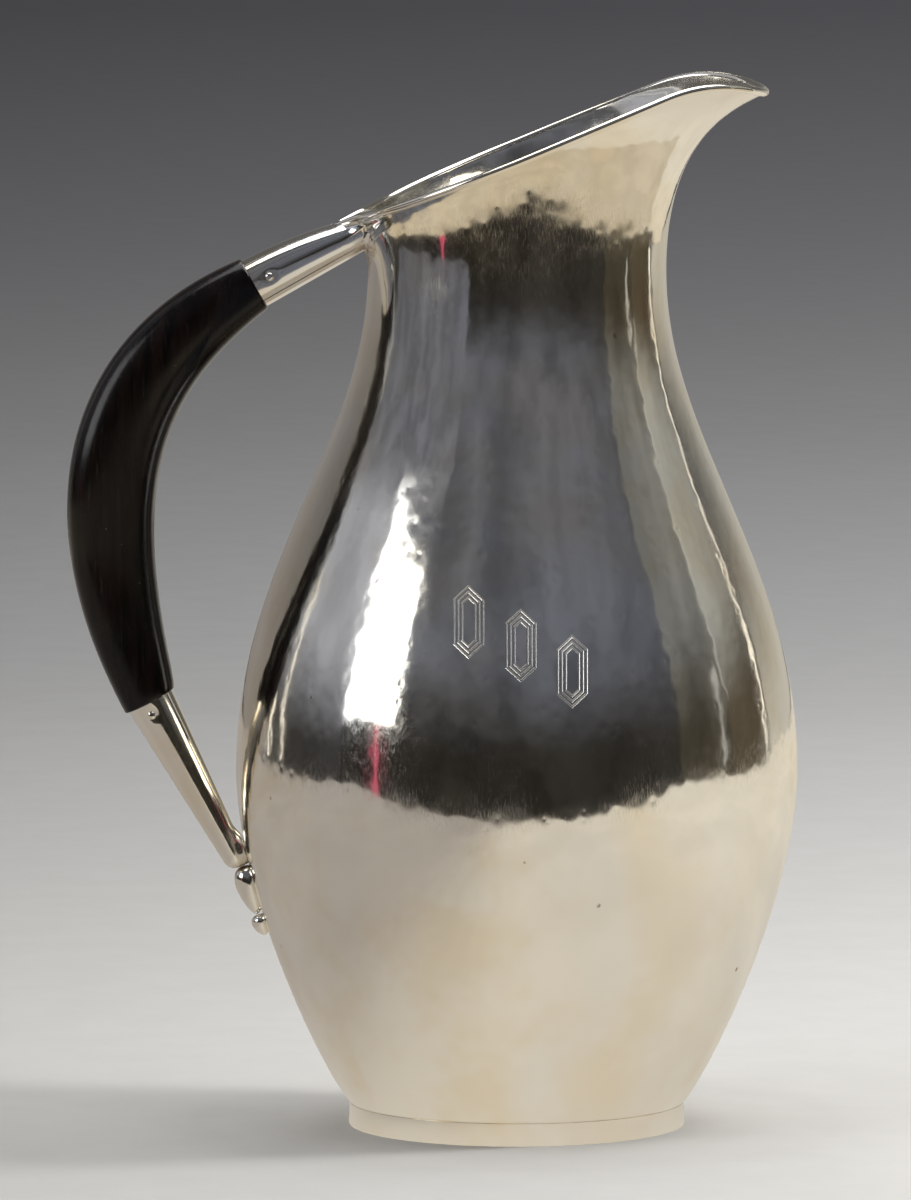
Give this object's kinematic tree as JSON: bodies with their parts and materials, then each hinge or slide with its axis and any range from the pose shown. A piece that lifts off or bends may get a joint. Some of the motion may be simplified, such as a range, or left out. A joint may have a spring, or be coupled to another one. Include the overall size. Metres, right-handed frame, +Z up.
{
  "type": "water pitcher",
  "caption": "Pear-shaped hammered silver water pitcher with a sloping egg-shaped mouth, broad spout, foot ring and pinned ebony handle.",
  "frame": {"origin": "middle of the footprint on the table: half way between the back of the grip and the front of the belly, on the level that the foot ring stands on", "axes": "+Z up; +X from the handle to the spout; +Y across, and the pitcher is the same on both sides of Y = 0"},
  "size_m": [0.1598, 0.1232, 0.2296],
  "materials": {
    "silver_body": "polished silver with hammer facets and fine scratches",
    "silver_fittings": "polished silver",
    "ebony": "waxed, close-grained"
  },
  "bodies": {
    "root": {"body_shell": "silver_body", "foot_ring": "silver_fittings", "rim_wire": "silver_fittings", "upper_socket": "silver_fittings", "upper_pin": "silver_fittings", "handle_grip": "ebony", "lower_socket": "silver_fittings", "lower_pin": "silver_fittings", "large_drop": "silver_fittings", "small_drop": "silver_fittings"}
  },
  "joints": []
}
